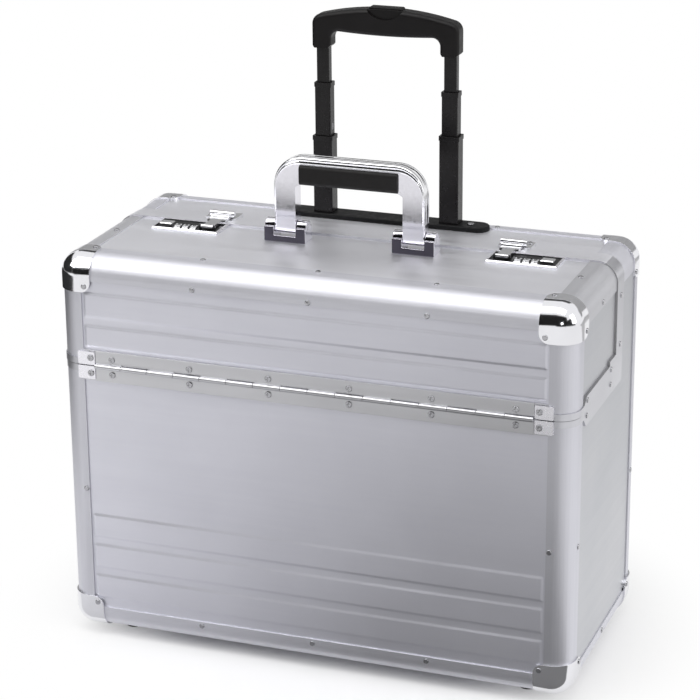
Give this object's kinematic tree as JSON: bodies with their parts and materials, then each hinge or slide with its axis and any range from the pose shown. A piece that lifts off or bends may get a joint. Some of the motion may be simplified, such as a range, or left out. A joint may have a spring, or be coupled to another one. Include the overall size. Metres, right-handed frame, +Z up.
{
  "type": "trolley pilot case",
  "caption": "Rigid aluminium pilot case with a forward-hinged lid, carrying handle, combination locks, telescopic trolley handle and rear wheels.",
  "frame": {"origin": "on the floor, under the middle of the overall box", "axes": "+X to the case's right seen from the front, +Y to the back (trolley side), +Z up"},
  "size_m": [0.4648, 0.2252, 0.5476],
  "materials": {
    "panel_aluminium": "silver anodised, satin",
    "profile_aluminium": "silver anodised, fluted",
    "rim_aluminium": "silver anodised, satin",
    "tube_aluminium": "plain drawn",
    "polished_chrome": "polished",
    "fastener_chrome": "bright plated",
    "lock_chrome": "polished",
    "hinge_steel": "bright, nickel plated",
    "dial_metal": "nickel plated with dark figures",
    "black_plastic": "moulded, fine grain",
    "trolley_black": "black anodised",
    "grip_plastic": "satin black",
    "button_plastic": "satin black",
    "grip_rubber": "soft black",
    "foot_rubber": "black",
    "wheel_tyre": "black polyurethane",
    "lining_fabric": "dark grey velour",
    "lining_board": "pressed board"
  },
  "bodies": {
    "case": {"front_panel": "panel_aluminium", "back_panel": "panel_aluminium", "side_panel_left": "panel_aluminium", "side_panel_right": "panel_aluminium", "bottom_panel": "panel_aluminium", "rear_top_panel": "panel_aluminium", "corner_profiles": "profile_aluminium", "bottom_edge_profiles": "profile_aluminium", "rear_top_edge_profiles": "profile_aluminium", "body_rim": "rim_aluminium", "body_corner_caps": "polished_chrome", "body_fasteners": "fastener_chrome", "hinge_leaf_lower": "hinge_steel", "hinge_pin": "hinge_steel", "hinge_lower_plates": "polished_chrome", "strikers": "lock_chrome", "trolley_bezel": "black_plastic", "trolley_outer_tubes": "tube_aluminium", "trolley_foot_bar": "black_plastic", "wheel_housings": "black_plastic", "wheel_axles": "hinge_steel", "front_feet": "foot_rubber", "body_lining": "lining_fabric", "false_wall": "lining_board"},
    "lid": {"lid_front_panel": "panel_aluminium", "lid_top_panel": "panel_aluminium", "lid_cheeks": "panel_aluminium", "lid_front_top_profile": "profile_aluminium", "lid_corner_profiles": "profile_aluminium", "lid_top_side_profiles": "profile_aluminium", "lid_rim": "rim_aluminium", "lid_corner_caps": "polished_chrome", "lid_fasteners": "fastener_chrome", "hinge_leaf_upper": "hinge_steel", "hinge_upper_plates": "polished_chrome", "handle_brackets": "lock_chrome", "lid_pins": "hinge_steel", "lock_plates": "lock_chrome", "lid_lining": "lining_fabric"},
    "carry_handle": {"carry_handle_frame": "lock_chrome", "carry_handle_grip": "grip_rubber"},
    "hasp_l": {"hasp_left": "lock_chrome"},
    "hasp_r": {"hasp_right": "lock_chrome"},
    "slider_l": {"slider_left": "lock_chrome"},
    "slider_r": {"slider_right": "lock_chrome"},
    "stage_one": {"trolley_stage_one": "trolley_black"},
    "stage_two": {"trolley_stage_two": "trolley_black"},
    "stage_three": {"trolley_stage_three": "trolley_black", "trolley_grip": "grip_plastic"},
    "push_button": {"trolley_button": "button_plastic"},
    "wheel_l": {"wheel_hub_left": "black_plastic", "tyre_left": "wheel_tyre"},
    "wheel_r": {"wheel_hub_right": "black_plastic", "tyre_right": "wheel_tyre"},
    "dial_l1": {"dial_left_1": "dial_metal"},
    "dial_l2": {"dial_left_2": "dial_metal"},
    "dial_l3": {"dial_left_3": "dial_metal"},
    "dial_r1": {"dial_right_1": "dial_metal"},
    "dial_r2": {"dial_right_2": "dial_metal"},
    "dial_r3": {"dial_right_3": "dial_metal"}
  },
  "joints": [
    {"name": "lid_hinge", "type": "hinge", "parent": "case", "child": "lid", "pos_m": [0, -0.11045, 0.259], "axis": [1, 0, 0], "range_deg": [0, 175]},
    {"name": "carry_handle_swing", "type": "hinge", "parent": "lid", "child": "carry_handle", "pos_m": [0, -0.0015, 0.368], "axis": [1, 0, 0], "range_deg": [-90, 90]},
    {"name": "hasp_l_swing", "type": "hinge", "parent": "lid", "child": "hasp_l", "pos_m": [-0.135, -0.0005, 0.359], "axis": [1, 0, 0], "range_deg": [0, 100]},
    {"name": "slider_l_slide", "type": "slide", "parent": "lid", "child": "slider_l", "axis": [-1, 0, 0], "range_m": [0, 0.0026], "stiffness_N_per_m": 150, "springref_m": -0.0005},
    {"name": "dial_l1_turn", "type": "hinge", "parent": "lid", "child": "dial_l1", "pos_m": [-0.1485, 0.0019, 0.351], "axis": [1, 0, 0], "continuous": true},
    {"name": "dial_l2_turn", "type": "hinge", "parent": "lid", "child": "dial_l2", "pos_m": [-0.156, 0.0019, 0.351], "axis": [1, 0, 0], "continuous": true},
    {"name": "dial_l3_turn", "type": "hinge", "parent": "lid", "child": "dial_l3", "pos_m": [-0.1635, 0.0019, 0.351], "axis": [1, 0, 0], "continuous": true},
    {"name": "wheel_l_roll", "type": "hinge", "parent": "case", "child": "wheel_l", "pos_m": [-0.172, 0.09065, 0.022], "axis": [1, 0, 0], "continuous": true},
    {"name": "hasp_r_swing", "type": "hinge", "parent": "lid", "child": "hasp_r", "pos_m": [0.135, -0.0005, 0.359], "axis": [1, 0, 0], "range_deg": [0, 100]},
    {"name": "slider_r_slide", "type": "slide", "parent": "lid", "child": "slider_r", "axis": [1, 0, 0], "range_m": [0, 0.0026], "stiffness_N_per_m": 150, "springref_m": -0.0005},
    {"name": "dial_r1_turn", "type": "hinge", "parent": "lid", "child": "dial_r1", "pos_m": [0.1485, 0.0019, 0.351], "axis": [1, 0, 0], "continuous": true},
    {"name": "dial_r2_turn", "type": "hinge", "parent": "lid", "child": "dial_r2", "pos_m": [0.156, 0.0019, 0.351], "axis": [1, 0, 0], "continuous": true},
    {"name": "dial_r3_turn", "type": "hinge", "parent": "lid", "child": "dial_r3", "pos_m": [0.1635, 0.0019, 0.351], "axis": [1, 0, 0], "continuous": true},
    {"name": "wheel_r_roll", "type": "hinge", "parent": "case", "child": "wheel_r", "pos_m": [0.172, 0.09065, 0.022], "axis": [1, 0, 0], "continuous": true},
    {"name": "stage_one_slide", "type": "slide", "parent": "case", "child": "stage_one", "axis": [0, 0, 1], "range_m": [-0.0655, 0.21]},
    {"name": "stage_two_slide", "type": "slide", "parent": "stage_one", "child": "stage_two", "axis": [0, 0, 1], "range_m": [-0.0347, 0.13]},
    {"name": "stage_three_slide", "type": "slide", "parent": "stage_two", "child": "stage_three", "axis": [0, 0, 1], "range_m": [-0.0315, 0.11]},
    {"name": "push_button_press", "type": "slide", "parent": "stage_three", "child": "push_button", "axis": [0, 0, -1], "range_m": [0, 0.003], "stiffness_N_per_m": 400, "springref_m": -0.001}
  ]
}
